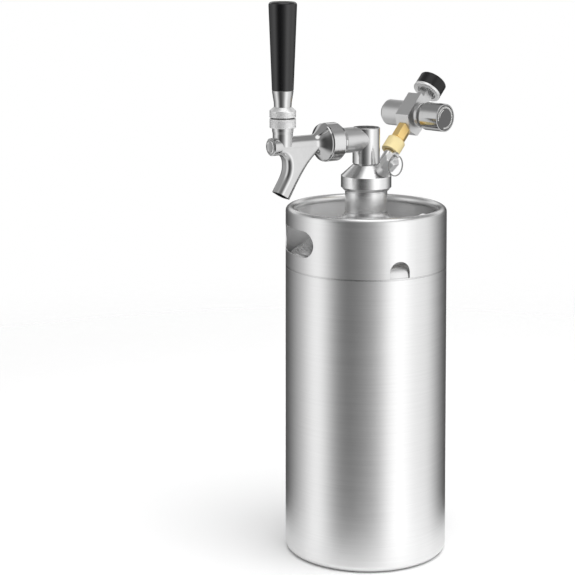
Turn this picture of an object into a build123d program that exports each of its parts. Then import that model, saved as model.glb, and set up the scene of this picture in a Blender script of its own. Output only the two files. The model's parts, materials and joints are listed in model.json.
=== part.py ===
"""Mini keg growler: steel keg, screw cap, beer tap and CO2 mini regulator.

Frame: origin on the floor at the keg's axis, +Z up, the tap's spout towards -Y. Millimetres.
"""
from build123d import *
import os
from math import cos, radians, sin

os.makedirs("parts", exist_ok=True)

# ---- Driving dimensions -------------------------------------------------------------
KEG_R = 67.0                # outside radius of the keg
WALL = 1.0                  # sheet thickness
CORNER_R = 12.0             # bottom edge of the keg
SEAM_Z = 238.0              # where body, shoulder and collar are welded together
RIM_Z = 288.0               # top of the rolled rim
BEAD_R = 4.0                # radius of the rolled rim
NECK_R = 17.6               # outside radius of the neck
NECK_BORE_R = 14.5
NECK_Z = 300.2              # shoulder of the neck, where its thread starts
NECK_TOP_Z = 310.0
CAP_THREAD_R = 16.95        # thread between neck and cap
CAP_R = 21.0                # skirt of the screw cap
CAP_Z = 301.2               # bottom edge of the cap
CONE_Z = 313.9              # where the cap's cone starts
CAP_TOP_Z = 322.7           # top of the cone
RUN = 0.05                  # radial running clearance of moving pieces

INLET_Z = 300.5             # where the inclined gas and relief axes cross the keg's axis
INLET_TILT = 45.0           # their rise above the horizontal, degrees
GAS_AZIMUTH = 101.0         # plan direction of the gas inlet, degrees from +X
RELIEF_AZIMUTH = 11.0       # plan direction of the relief valve and of the regulator's knob
BOSS_S = 24.6               # distance along an inclined axis where a fitting stands on the cone

TAP_Z = 344.0               # height of the tap's horizontal axis
POST_R = 7.0                # liquid post
DISCONNECT_R = 11.4
DISCONNECT_Z = 323.5
DISCONNECT_TOP_Z = 353.5
SHANK_R = 10.4
NUT_R = 15.8
NUT_START, NUT_END = 26.0, 43.4      # along the tap's axis, from the keg's axis
BARREL_R = 7.2
BARREL_END = 95.4
LEVER_D = 83.5              # distance of the lever's axis from the keg's axis
LEVER_PIVOT_Z = 355.0
BONNET_Z = 358.9
KNURL_R = 10.65
HANDLE_Z = 388.9
HANDLE_TOP_Z = 460.5

REGULATOR_S = 83.1          # regulator's centre along the gas axis
KNOB_R = 11.8
KNOB_BACK, KNOB_FACE = 16.2, 36.0    # along the knob's axis, from the regulator's centre
SOCKET_R = 11.0
SOCKET_END = 29.0
THREAD_R = 4.2              # cartridge thread, 3/8-24, at its minor diameter
THREAD_LENGTH = 8.0
POCKET_R, POCKET_W = 4.9, 17.0       # wider pocket behind the thread, and its floor
GAUGE_R = 12.1
GAUGE_BACK, GAUGE_FRONT = 107.9, 121.5

# ---- Directions and planes ----------------------------------------------------------


def inclined(azimuth):
    """Plane at the crossing point whose normal rises at INLET_TILT towards azimuth."""
    flat, rise = cos(radians(INLET_TILT)), sin(radians(INLET_TILT))
    direction = Vector(flat * cos(radians(azimuth)), flat * sin(radians(azimuth)), rise)
    side = Vector(-sin(radians(azimuth)), cos(radians(azimuth)), 0)
    return Plane(origin=(0, 0, INLET_Z), x_dir=side, z_dir=direction)


UPRIGHT = Plane.XY
GAS = inclined(GAS_AZIMUTH)
RELIEF = inclined(RELIEF_AZIMUTH)
TAP = Plane(origin=(0, 0, TAP_Z), x_dir=(1, 0, 0), z_dir=(0, -1, 0))
LEVER = Plane(origin=(0, -LEVER_D, 0), x_dir=(1, 0, 0), z_dir=(0, 0, 1))
KNOB_DIR = Vector(cos(radians(RELIEF_AZIMUTH)), sin(radians(RELIEF_AZIMUTH)), 0)
KNOB = Plane(origin=GAS.origin + GAS.z_dir * REGULATOR_S, x_dir=GAS.z_dir, z_dir=KNOB_DIR)
SOCKET = Plane(origin=KNOB.origin, x_dir=GAS.z_dir, z_dir=-KNOB_DIR)


def turn(plane, *outline, mode=Mode.ADD):
    """Revolve an outline of (radius, distance) points about the plane's normal."""
    section = Plane(origin=plane.origin, x_dir=plane.x_dir, z_dir=-plane.y_dir)
    with BuildSketch(section) as profile:
        with BuildLine():
            Polyline(*outline, close=True)
        make_face()
    revolve(profile.sketch, axis=Axis(plane.origin, plane.z_dir), mode=mode)


def rod(plane, radius, start, end, mode=Mode.ADD):
    """Cylinder along the plane's normal between two distances."""
    with BuildSketch(plane.offset(start)) as profile:
        Circle(radius)
    extrude(profile.sketch, amount=end - start, dir=plane.z_dir, mode=mode)


def hexagon(plane, across_flats, start, end, mode=Mode.ADD):
    """Hexagonal bar along the plane's normal between two distances."""
    with BuildSketch(plane.offset(start)) as profile:
        RegularPolygon(across_flats / 2, 6, major_radius=False)
    extrude(profile.sketch, amount=end - start, dir=plane.z_dir, mode=mode)


def o_ring(plane, ring_r, cord_r, at, mode=Mode.ADD):
    """Torus about the plane's normal."""
    section = Plane(origin=plane.origin, x_dir=plane.x_dir, z_dir=-plane.y_dir)
    with BuildSketch(section) as profile:
        with Locations((ring_r, at)):
            Circle(cord_r)
    revolve(profile.sketch, axis=Axis(plane.origin, plane.z_dir), mode=mode)


def coil(plane, coil_r, wire_r, start, end, turns):
    """Round wire wound about the plane's normal."""
    winding = Helix(pitch=(end - start - 2 * wire_r) / turns, radius=coil_r,
                    height=end - start - 2 * wire_r)
    path = plane.offset(start + wire_r).location * winding
    with BuildSketch(Plane(origin=path @ 0, z_dir=path % 0)) as profile:
        Circle(wire_r)
    sweep(profile.sketch, path=path, is_frenet=True)


def save(part, name):
    part.label = name
    export_step(part, f"parts/{name}.step")


# ---- Keg ----------------------------------------------------------------------------
FOOT_IN, FOOT_OUT = 48.0, 55.0
RECESS_R, RECESS_Z = 44.0, 6.0
WELD_H = 1.4                # band of the shoulder that shows between body and collar


def make_keg_shell():
    """Drawn body: straight wall, rounded bottom edge, ring foot and raised floor."""
    inner_r = KEG_R - WALL
    with BuildPart() as keg_shell:
        with BuildSketch(Plane.XZ):
            with BuildLine():
                outer = Line((0, RECESS_Z), (RECESS_R, RECESS_Z))
                slope = Line(outer @ 1, (FOOT_IN, 0))
                foot = Line(slope @ 1, (FOOT_OUT, 0))
                corner = JernArc(foot @ 1, (1, 0), CORNER_R, 90)
                wall = Line(corner @ 1, (KEG_R, SEAM_Z))
                lip = Line(wall @ 1, (inner_r, SEAM_Z))
                inside = Line(lip @ 1, (inner_r, CORNER_R))
                inner_corner = JernArc(inside @ 1, (0, -1), CORNER_R - WALL, -90)
                inner_foot = Line(inner_corner @ 1, (FOOT_IN + WALL / 2, WALL))
                inner_slope = Line(inner_foot @ 1, (RECESS_R + WALL / 2, RECESS_Z + WALL))
                floor = Line(inner_slope @ 1, (0, RECESS_Z + WALL))
                Line(floor @ 1, outer @ 0)
            make_face()
        revolve(axis=Axis.Z)
    save(keg_shell.part, "keg_shell")


def make_shoulder_dome():
    """Shoulder sheet: weld band, tight corner, cone and concave flare up to the neck."""
    inner_r = KEG_R - WALL
    band_z = SEAM_Z + WELD_H
    flare_r, flare_z = 24.0, 277.7
    neck_z = 284.0
    cone_r, cone_z = 57.5, 251.5
    with BuildPart() as shoulder_dome:
        with BuildSketch(Plane.XZ):
            with BuildLine():
                band = Line((KEG_R, SEAM_Z), (KEG_R, band_z))
                step = Line(band @ 1, (inner_r - 0.1, band_z))
                bend = TangentArc(step @ 1, (cone_r, cone_z), tangent=(0, 1))
                cone = Line(bend @ 1, (flare_r, flare_z))
                flare = TangentArc((NECK_R, neck_z), cone @ 1, tangent=(0, -1))
                top = Line(flare @ 0, (NECK_R - WALL, neck_z))
                flare_in = TangentArc(top @ 1, (flare_r - WALL * 0.7, flare_z - WALL * 0.8),
                                      tangent=(0, -1))
                cone_in = Line(flare_in @ 1, (cone_r - WALL * 0.6, cone_z - WALL))
                bend_in = Spline(cone_in @ 1, (inner_r - WALL - 0.1, band_z - WALL),
                                 tangents=(cone_in % 1, (0, -1)))
                base = Line(bend_in @ 1, (inner_r - WALL - 0.1, SEAM_Z))
                Line(base @ 1, band @ 0)
            make_face()
        revolve(axis=Axis.Z)
    save(shoulder_dome.part, "shoulder_dome")


def make_neck_ring():
    """Neck tube welded on the shoulder, with a plain cylinder for its thread."""
    with BuildPart() as neck_ring:
        turn(UPRIGHT, (NECK_BORE_R, 284), (NECK_R, 284), (NECK_R, NECK_Z - 0.6),
             (NECK_R - 0.6, NECK_Z), (CAP_THREAD_R - RUN, NECK_Z),
             (CAP_THREAD_R - RUN, NECK_TOP_Z), (NECK_BORE_R, NECK_TOP_Z))
    save(neck_ring.part, "neck_ring")


SLOT_AZIMUTH = 77.5         # centre of one handle slot; the other is opposite
SLOT_Z = 263.0
SLOT_HEIGHT, SLOT_LENGTH = 21.5, 62.0
DRAIN_WIDTH, DRAIN_HEIGHT = 17.5, 13.6


def make_top_collar():
    """Collar: rolled rim, two handle slots, and two half-round drains at its bottom edge."""
    inner_r = KEG_R - WALL
    bottom_z = SEAM_Z + WELD_H
    bead_z = RIM_Z - BEAD_R
    bead_axis_r = KEG_R - BEAD_R
    slot_angle = SLOT_LENGTH / KEG_R
    with BuildPart() as top_collar:
        turn(UPRIGHT, (inner_r, bottom_z), (KEG_R, bottom_z), (KEG_R, bead_z), (inner_r, bead_z))
        with BuildSketch(Plane.XZ) as bead:
            with Locations((bead_axis_r, bead_z)):
                Circle(BEAD_R)
                Circle(BEAD_R - WALL, mode=Mode.SUBTRACT)
            with Locations((bead_axis_r - BEAD_R / 2, bead_z - BEAD_R)):
                Rectangle(BEAD_R * 2, BEAD_R, mode=Mode.SUBTRACT)
        revolve(bead.sketch, axis=Axis.Z)
        for side in (0, 180):
            azimuth = radians(SLOT_AZIMUTH + side)
            outward = Vector(cos(azimuth), sin(azimuth), 0)
            slot_plane = Plane(origin=(0, 0, SLOT_Z), x_dir=(-outward.Y, outward.X, 0), z_dir=outward)
            with BuildSketch(slot_plane) as slot:
                SlotOverall(2 * KEG_R * sin(slot_angle / 2), SLOT_HEIGHT)
            extrude(slot.sketch, amount=KEG_R + 1, dir=outward, mode=Mode.SUBTRACT)
            drain_dir = Vector(-outward.Y, outward.X, 0)
            drain_plane = Plane(origin=(0, 0, bottom_z), x_dir=outward, z_dir=drain_dir)
            with BuildSketch(drain_plane) as drain:
                straight = DRAIN_HEIGHT - DRAIN_WIDTH / 2
                with Locations((0, straight), (0, -straight)):
                    Circle(DRAIN_WIDTH / 2)
                Rectangle(DRAIN_WIDTH, 2 * straight)
            extrude(drain.sketch, amount=KEG_R + 1, dir=drain_dir, mode=Mode.SUBTRACT)
    save(top_collar.part, "top_collar")


# ---- Screw cap ----------------------------------------------------------------------
SEAL_Z, SEAL_TOP_Z = 310.0, 311.5
CAVITY_Z = 314.5
POST_THREAD_R = 5.6
GAS_THREAD_R, RELIEF_THREAD_R = 3.6, 3.8
BORE_S = 16.0               # where the inclined holes start, inside the cap's cavity


def make_cap_body():
    """Cap: skirt with a chamfered lower edge, cone, centre hole and two inclined holes."""
    with BuildPart() as cap_body:
        turn(UPRIGHT, (CAP_THREAD_R, CAP_Z), (CAP_R - 2.4, CAP_Z), (CAP_R, CAP_Z + 2.8),
             (CAP_R, CONE_Z - 0.5), (CAP_R - 0.5, CONE_Z), (11.2, CAP_TOP_Z - 0.3),
             (10.9, CAP_TOP_Z), (POST_THREAD_R, CAP_TOP_Z), (POST_THREAD_R, CAVITY_Z),
             (12.0, CAVITY_Z), (13.5, SEAL_TOP_Z + 0.05), (CAP_THREAD_R, SEAL_TOP_Z + 0.05))
        rod(GAS, GAS_THREAD_R, BORE_S, BOSS_S + 4, mode=Mode.SUBTRACT)
        rod(RELIEF, RELIEF_THREAD_R, BORE_S, BOSS_S + 4, mode=Mode.SUBTRACT)
    save(cap_body.part, "cap_body")


def make_cap_seal():
    with BuildPart() as cap_seal:
        turn(UPRIGHT, (NECK_BORE_R, SEAL_Z), (CAP_THREAD_R - 0.15, SEAL_Z),
             (CAP_THREAD_R - 0.15, SEAL_TOP_Z), (NECK_BORE_R, SEAL_TOP_Z))
    save(cap_seal.part, "cap_seal")


POST_TOP_Z = 341.0
POST_BORE_R = 4.4
POST_LIP_Z = 317.0          # lip in the post that holds the dip tube
BALL_GROOVE_Z = 329.0
POST_GROOVE_R = 6.55
RING_GROOVE_Z = 336.6
POPPET_SEAT_Z = 336.0


def make_liquid_post():
    """Post: threaded foot, ball groove, seal groove and a stepped bore."""
    with BuildPart() as liquid_post:
        turn(UPRIGHT, (3.1, CAVITY_Z + 0.1), (POST_THREAD_R, CAVITY_Z + 0.1),
             (POST_THREAD_R, CAP_TOP_Z), (POST_R, CAP_TOP_Z),
             (POST_R, BALL_GROOVE_Z - 1.6), (POST_GROOVE_R, BALL_GROOVE_Z - 1.0),
             (POST_GROOVE_R, BALL_GROOVE_Z + 1.0), (POST_R, BALL_GROOVE_Z + 1.6),
             (POST_R, RING_GROOVE_Z - 0.8), (POST_R - 1.4, RING_GROOVE_Z - 0.8),
             (POST_R - 1.4, RING_GROOVE_Z + 0.8), (POST_R, RING_GROOVE_Z + 0.8),
             (POST_R, POST_TOP_Z - 0.8), (POST_R - 0.8, POST_TOP_Z), (2.6, POST_TOP_Z),
             (2.6, POPPET_SEAT_Z + 1.2), (POST_BORE_R, POPPET_SEAT_Z),
             (POST_BORE_R, POST_LIP_Z), (3.1, POST_LIP_Z))
    save(liquid_post.part, "liquid_post")


def make_post_oring():
    with BuildPart() as post_oring:
        o_ring(UPRIGHT, POST_R - 0.7, 0.68, RING_GROOVE_Z)
    save(post_oring.part, "post_oring")


POPPET_Z = 331.5
POPPET_TIP_Z = 339.5


def make_post_poppet():
    with BuildPart() as post_poppet:
        turn(UPRIGHT, (0, POPPET_Z), (3.4, POPPET_Z), (3.4, POPPET_Z + 1.6), (1.2, POPPET_Z + 3.0),
             (1.2, POPPET_TIP_Z - 0.3), (0.9, POPPET_TIP_Z), (0, POPPET_TIP_Z))
    save(post_poppet.part, "post_poppet")


SPRING_FOOT_Z = 320.4


def make_poppet_spring():
    with BuildPart() as poppet_spring:
        coil(UPRIGHT, 3.0, 0.35, SPRING_FOOT_Z, POPPET_Z - 0.1, 5)
    save(poppet_spring.part, "poppet_spring")


TUBE_R, TUBE_BORE_R = 3.0, 2.4
TUBE_FOOT_Z = 12.0


def make_dip_tube():
    """Tube from the post's lip to just above the keg's floor, flared at the top."""
    with BuildPart() as dip_tube:
        turn(UPRIGHT, (TUBE_BORE_R, TUBE_FOOT_Z), (TUBE_R, TUBE_FOOT_Z), (TUBE_R, POST_LIP_Z + 0.05),
             (POST_BORE_R - 0.1, POST_LIP_Z + 0.05), (POST_BORE_R - 0.1, POST_LIP_Z + 1.5),
             (TUBE_BORE_R, POST_LIP_Z + 1.5))
    save(dip_tube.part, "dip_tube")


def make_dip_tube_oring():
    with BuildPart() as dip_tube_oring:
        o_ring(UPRIGHT, POST_BORE_R - 0.8, 0.72, POST_LIP_Z + 1.6 + 0.72)
    save(dip_tube_oring.part, "dip_tube_oring")


# ---- Gas inlet and relief valve -----------------------------------------------------
STEM_R = 4.2
STEM_END = 52.0
GAS_BALL_S = 44.8
GAS_BALL_R = 0.85
GAS_RING_S = 49.0
GAS_BORE_R = 1.5


def make_gas_stem():
    """Plug that the quick coupler clips on: thread, collar, ball groove, seal groove."""
    ball_groove_r = STEM_R - 0.75
    ring_groove_r = STEM_R - 1.3
    with BuildPart() as gas_stem:
        turn(GAS, (GAS_BORE_R, BORE_S + 3.5), (GAS_THREAD_R, BORE_S + 3.5), (GAS_THREAD_R, BOSS_S),
             (5.8, BOSS_S), (5.8, BOSS_S + 2.4), (STEM_R, BOSS_S + 3.0),
             (STEM_R, GAS_BALL_S - 1.3), (ball_groove_r, GAS_BALL_S - 0.8),
             (ball_groove_r, GAS_BALL_S + 0.8), (STEM_R, GAS_BALL_S + 1.3),
             (STEM_R, GAS_RING_S - 0.8), (ring_groove_r, GAS_RING_S - 0.8),
             (ring_groove_r, GAS_RING_S + 0.8), (STEM_R, GAS_RING_S + 0.8),
             (STEM_R, STEM_END - 0.6), (STEM_R - 0.6, STEM_END), (GAS_BORE_R, STEM_END))
    save(gas_stem.part, "gas_stem")


def make_gas_stem_oring():
    with BuildPart() as gas_stem_oring:
        o_ring(GAS, STEM_R - 0.65, 0.62, GAS_RING_S)
    save(gas_stem_oring.part, "gas_stem_oring")


RELIEF_R = 6.1
RELIEF_HEX_S, RELIEF_TOP_S = 31.5, 41.5
RELIEF_AF = 11.8
RELIEF_STEM_R = 2.0
RELIEF_SEAT_S = 27.0
EYE_S = 46.0
RING_R, RING_WIRE_R = 8.4, 0.65


def make_prv_body():
    """Relief valve body: thread, round part, hexagon, spring chamber and stem bore."""
    with BuildPart() as prv_body:
        turn(RELIEF, (0, BORE_S + 3.5), (RELIEF_THREAD_R, BORE_S + 3.5), (RELIEF_THREAD_R, BOSS_S),
             (RELIEF_R - 0.5, BOSS_S), (RELIEF_R, BOSS_S + 0.5), (RELIEF_R, RELIEF_HEX_S),
             (0, RELIEF_HEX_S))
        hexagon(RELIEF, RELIEF_AF, RELIEF_HEX_S, RELIEF_TOP_S)
        turn(RELIEF, (6.0, RELIEF_TOP_S), (7.4, RELIEF_TOP_S), (7.4, RELIEF_TOP_S - 0.9),
             mode=Mode.SUBTRACT)
        rod(RELIEF, RELIEF_STEM_R + RUN, BORE_S, RELIEF_TOP_S + 1, mode=Mode.SUBTRACT)
        rod(RELIEF, 4.0, RELIEF_SEAT_S, 35.0, mode=Mode.SUBTRACT)
    save(prv_body.part, "prv_body")


def make_prv_seal():
    with BuildPart() as prv_seal:
        turn(RELIEF, (RELIEF_STEM_R, RELIEF_SEAT_S + 0.05), (3.6, RELIEF_SEAT_S + 0.05),
             (3.6, RELIEF_SEAT_S + 0.9), (RELIEF_STEM_R, RELIEF_SEAT_S + 0.9))
    save(prv_seal.part, "prv_seal")


def make_prv_stem():
    """Stem with its valve plate and a round eye for the pull ring."""
    eye_plane = Plane(origin=RELIEF.origin + RELIEF.z_dir * EYE_S,
                      x_dir=RELIEF.z_dir, z_dir=RELIEF.x_dir)
    with BuildPart() as prv_stem:
        turn(RELIEF, (0, BOSS_S), (RELIEF_STEM_R, BOSS_S), (RELIEF_STEM_R, RELIEF_SEAT_S + 0.9),
             (3.6, RELIEF_SEAT_S + 0.9), (3.6, RELIEF_SEAT_S + 1.8),
             (RELIEF_STEM_R, RELIEF_SEAT_S + 1.8), (RELIEF_STEM_R, EYE_S - 1.0), (0, EYE_S - 1.0))
        rod(eye_plane, 2.6, -1.5, 1.5)
        rod(eye_plane, 1.25, -2, 2, mode=Mode.SUBTRACT)
    save(prv_stem.part, "prv_stem")


def make_prv_spring():
    with BuildPart() as prv_spring:
        coil(RELIEF, 3.1, 0.4, 31.5, 34.9, 3)
    save(prv_spring.part, "prv_spring")


def make_prv_ring():
    """Pull ring hanging from the eye, in the upright plane across the valve."""
    eye = RELIEF.origin + RELIEF.z_dir * EYE_S
    hoop = Plane(origin=eye - Vector(0, 0, RING_R), x_dir=(0, 0, 1), z_dir=KNOB_DIR)
    with BuildPart() as prv_ring:
        o_ring(hoop, RING_R, RING_WIRE_R, 0)
    save(prv_ring.part, "prv_ring")


# ---- Disconnect and shank -----------------------------------------------------------
CHAMBER_TOP_Z = 348.5
PASSAGE_R = 2.6
LOCK_BALL_R = 1.3
LOCK_BALLS = 4
FLANGE_D, FLANGE_END = 30.6, 34.0    # flange of the shank inside the nut
FLANGE_R = 12.6
SHANK_SEAT_D = 4.0          # where the shank starts, before the disconnect's shape is cut out


def lock_ball_directions():
    return [45 + index * 360 / LOCK_BALLS for index in range(LOCK_BALLS)]


def make_disconnect_body():
    """Upright barrel on the post, with pockets for the lock balls and a side port."""
    with BuildPart() as disconnect_body:
        turn(UPRIGHT, (POST_R + RUN, DISCONNECT_Z), (DISCONNECT_R - 0.4, DISCONNECT_Z),
             (DISCONNECT_R, DISCONNECT_Z + 0.4), (DISCONNECT_R, DISCONNECT_TOP_Z - 0.7),
             (DISCONNECT_R - 0.7, DISCONNECT_TOP_Z), (8.6, DISCONNECT_TOP_Z),
             (8.6, CHAMBER_TOP_Z + 1.5), (5.0, CHAMBER_TOP_Z + 1.5), (5.0, POST_TOP_Z + 0.2),
             (POST_R + RUN, POST_TOP_Z + 0.2))
        for azimuth in lock_ball_directions():
            outward = (cos(radians(azimuth)), sin(radians(azimuth)), 0)
            pocket = Plane(origin=(0, 0, BALL_GROOVE_Z), z_dir=outward)
            rod(pocket, LOCK_BALL_R + 0.05, POST_R - 0.5, 9.3, mode=Mode.SUBTRACT)
        rod(TAP, PASSAGE_R, 3, DISCONNECT_R + 1, mode=Mode.SUBTRACT)
    save(disconnect_body.part, "disconnect_body")


def make_lock_balls():
    ball_r = POST_GROOVE_R + LOCK_BALL_R + 0.05
    with BuildPart() as lock_balls:
        with PolarLocations(ball_r, LOCK_BALLS, start_angle=45):
            with Locations((0, 0, BALL_GROOVE_Z)):
                Sphere(LOCK_BALL_R)
    save(lock_balls.part, "lock_balls")


def make_disconnect_plug():
    """Screw plug that closes the top of the disconnect."""
    with BuildPart() as disconnect_plug:
        turn(UPRIGHT, (0, CHAMBER_TOP_Z), (4.9, CHAMBER_TOP_Z), (4.9, CHAMBER_TOP_Z + 1.5),
             (8.55, CHAMBER_TOP_Z + 1.5), (8.55, DISCONNECT_TOP_Z - 0.3),
             (8.25, DISCONNECT_TOP_Z), (0, DISCONNECT_TOP_Z))
        with BuildSketch(Plane.XY.offset(DISCONNECT_TOP_Z - 1.2)) as key:
            Rectangle(9.0, 1.4)
        extrude(key.sketch, amount=2, mode=Mode.SUBTRACT)
    save(disconnect_plug.part, "disconnect_plug")


def make_disconnect_pin():
    """Pin that holds the post's poppet open."""
    with BuildPart() as disconnect_pin:
        rod(UPRIGHT, 1.1, POPPET_TIP_Z + 0.1, CHAMBER_TOP_Z)
        rod(UPRIGHT, 2.0, CHAMBER_TOP_Z - 2, CHAMBER_TOP_Z)
    save(disconnect_pin.part, "disconnect_pin")


def make_shank():
    """Side tube: saddled on the disconnect, flanged inside the coupling nut."""
    with BuildPart() as shank:
        turn(TAP, (PASSAGE_R, SHANK_SEAT_D), (SHANK_R, SHANK_SEAT_D), (SHANK_R, FLANGE_D),
             (FLANGE_R, FLANGE_D), (FLANGE_R, FLANGE_END), (PASSAGE_R + 1.4, FLANGE_END),
             (PASSAGE_R + 1.4, FLANGE_END - 4), (PASSAGE_R, FLANGE_END - 6))
        rod(UPRIGHT, DISCONNECT_R, DISCONNECT_Z, DISCONNECT_TOP_Z + 2, mode=Mode.SUBTRACT)
    save(shank.part, "shank")


def make_coupling_nut():
    """Round nut: chamfered back with four spanner notches, straight skirt."""
    with BuildPart() as coupling_nut:
        turn(TAP, (SHANK_R + 0.1, NUT_START), (SHANK_R + 0.9, NUT_START), (NUT_R, NUT_START + 6.0),
             (NUT_R, NUT_END - 0.5), (NUT_R - 0.5, NUT_END), (13.0, NUT_END), (13.0, FLANGE_D - 0.1),
             (SHANK_R + 0.1, FLANGE_D - 0.1))
        for azimuth in (0, 90, 180, 270):
            side = TAP.x_dir * cos(radians(azimuth)) + TAP.y_dir * sin(radians(azimuth))
            notch = Plane(origin=TAP.origin + TAP.z_dir * NUT_START, x_dir=TAP.z_dir, z_dir=side)
            with BuildSketch(notch) as cut:
                with Locations((1.2, 0)):
                    Rectangle(6.0, 4.4)
            extrude(cut.sketch.moved(Location(side * (SHANK_R + 1.9))), amount=8, dir=side,
                    mode=Mode.SUBTRACT)
    save(coupling_nut.part, "coupling_nut")


TAIL_D = 35.5               # back end of the faucet's threaded tail
TAIL_R = 12.9


def make_shank_seal():
    with BuildPart() as shank_seal:
        turn(TAP, (6.0, FLANGE_END), (11.5, FLANGE_END), (11.5, TAIL_D), (6.0, TAIL_D))
    save(shank_seal.part, "shank_seal")


# ---- Faucet -------------------------------------------------------------------------
SEAT_D = 46.0
FLARE_D = 43.7
FLARE_END = 55.5
SPOUT_HALF = 7.0
OUTLET = (85.4, 304.0)      # centre of the outlet: distance from the keg's axis, height
OUTLET_TILT = 31.0          # spout's lean from the vertical at the outlet, degrees
OUTLET_HALF = 6.6
BARREL_BORE_R = 4.0
NECK_TOP_R = 8.6
CAVITY_R = 4.5


def make_faucet_body():
    """Faucet: flared barrel with a threaded tail, upright neck and curved spout."""
    side = Plane(origin=(0, 0, 0), x_dir=(0, -1, 0), z_dir=(-1, 0, 0))
    lean = radians(OUTLET_TILT)
    front_lip = (OUTLET[0] + OUTLET_HALF * cos(lean), OUTLET[1] + OUTLET_HALF * sin(lean))
    back_lip = (OUTLET[0] - OUTLET_HALF * cos(lean), OUTLET[1] - OUTLET_HALF * sin(lean))
    down = (sin(lean), -cos(lean))
    with BuildPart() as faucet_body:
        with BuildSketch(side) as spout:
            with BuildLine():
                throat = Spline((88.5, TAP_Z - BARREL_R + 0.3), (81.8, 328.5), front_lip,
                                tangents=((-1, -0.08), down))
                outlet = Line(throat @ 1, back_lip)
                back = Spline(outlet @ 1, (62.7, 327.0), (52.5, TAP_Z - BARREL_R + 0.2),
                              tangents=((-down[0], -down[1]), (-1, 0.75)))
                Polyline(back @ 1, (52.5, TAP_Z), (88.5, TAP_Z), throat @ 0)
            make_face()
        extrude(spout.sketch, amount=SPOUT_HALF, both=True)
        spout_edges = faucet_body.edges().filter_by(
            lambda edge: abs(abs(edge.center().X) - SPOUT_HALF) < 0.01
            and edge.center().Z < TAP_Z - BARREL_R and edge.length > 20)
        fillet(spout_edges, 4.6)
        section = Plane(origin=TAP.origin, x_dir=TAP.x_dir, z_dir=-TAP.y_dir)
        with BuildSketch(section) as barrel:
            with BuildLine():
                tail = Polyline((0, TAIL_D), (TAIL_R, TAIL_D), (TAIL_R, FLARE_D), (15.3, FLARE_D),
                                (15.6, FLARE_D + 0.4), (15.2, FLARE_D + 1.3))
                flare = Spline(tail @ 1, (9.4, FLARE_D + 6.4), (BARREL_R, FLARE_END),
                               tangents=((-0.75, 0.66), (0, 1)))
                Polyline(flare @ 1, (BARREL_R, BARREL_END - 0.7), (BARREL_R - 0.7, BARREL_END),
                         (0, BARREL_END), (0, TAIL_D))
            make_face()
        revolve(barrel.sketch, axis=Axis(TAP.origin, TAP.z_dir))
        turn(LEVER, (0, TAP_Z), (8.1, TAP_Z), (8.1, TAP_Z + 10), (NECK_TOP_R, BONNET_Z - 2.6),
             (NECK_TOP_R, BONNET_Z - 0.1), (0, BONNET_Z - 0.1))
        # rear chamber, seat, barrel bore and plug seat
        turn(TAP, (0, TAIL_D), (5.9, TAIL_D), (5.9, SEAT_D), (3.4, SEAT_D), (3.4, SEAT_D + 3),
             (BARREL_BORE_R, SEAT_D + 3), (BARREL_BORE_R, 91), (5.6, 91), (5.6, BARREL_END),
             (0, BARREL_END), mode=Mode.SUBTRACT)
        # lever cavity
        turn(LEVER, (0, TAP_Z), (CAVITY_R, TAP_Z), (CAVITY_R, 351.2), (5.1, 351.2), (5.1, 355.5),
             (7.05, 355.5), (7.05, BONNET_Z), (0, BONNET_Z), mode=Mode.SUBTRACT)
        # spout passage
        with BuildLine() as flow:
            Spline((0, -71, TAP_Z - 2), (0, -75.5, 322), (0, -OUTLET[0] - 0.6, OUTLET[1] - 1.0),
                   tangents=((0, 0, -1), (0, -down[0], down[1])))
        with BuildSketch(Plane(origin=flow.wire() @ 0, z_dir=flow.wire() % 0)) as mouth:
            Circle(4.4)
        sweep(mouth.sketch, path=flow.wire(), mode=Mode.SUBTRACT)
    save(faucet_body.part, "faucet_body")


def make_front_plug():
    """Screw plug in the front of the barrel, with a shallow dished face."""
    with BuildPart() as front_plug:
        turn(TAP, (0, 91.1), (5.55, 91.1), (5.55, BARREL_END + 0.5), (5.0, BARREL_END + 0.9),
             (4.3, BARREL_END + 0.5), (0, BARREL_END + 0.5))
    save(front_plug.part, "front_plug")


SHAFT_BACK, SHAFT_FRONT = 41.0, 90.0
SHAFT_TOP_Z = 345.2


def make_faucet_shaft():
    """Shaft: clamp head behind the seat, thin rod, slotted block and front guide."""
    with BuildPart() as faucet_shaft:
        turn(TAP, (0, SHAFT_BACK), (3.5, SHAFT_BACK), (3.5, 43.0), (2.0, 43.0), (2.0, 77.0),
             (3.2, 78.0), (3.2, 86.5), (BARREL_BORE_R - RUN, 86.5), (BARREL_BORE_R - RUN, SHAFT_FRONT),
             (0, SHAFT_FRONT))
        with BuildSketch(Plane.XY.offset(SHAFT_TOP_Z)) as flat:
            with Locations((0, -82.0)):
                Rectangle(9, 11)
        extrude(flat.sketch, amount=5, mode=Mode.SUBTRACT)
        with BuildSketch(Plane.XY.offset(341.4)) as slot:
            with Locations((0, -LEVER_D)):
                Rectangle(4.2, 4.2)
        extrude(slot.sketch, amount=6, mode=Mode.SUBTRACT)
    save(faucet_shaft.part, "faucet_shaft")


def make_seat_washer():
    with BuildPart() as seat_washer:
        turn(TAP, (2.0, 43.0), (5.0, 43.0), (5.0, SEAT_D - 0.05), (2.0, SEAT_D - 0.05))
    save(seat_washer.part, "seat_washer")


LEVER_BALL_R = 5.0
LEVER_ROD_R = 2.5
LEVER_TIP_R = 1.9


def make_ball_seat():
    with BuildPart() as ball_seat:
        turn(LEVER, (4.1, 351.25), (5.05, 351.25), (5.05, 352.0), (4.1, 352.0))
    save(ball_seat.part, "ball_seat")


def make_ball_washer():
    with BuildPart() as ball_washer:
        turn(LEVER, (4.3, 357.75), (5.55, 357.75), (5.55, 358.7), (4.3, 358.7))
    save(ball_washer.part, "ball_washer")


BONNET_TOP_Z = 366.3


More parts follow.
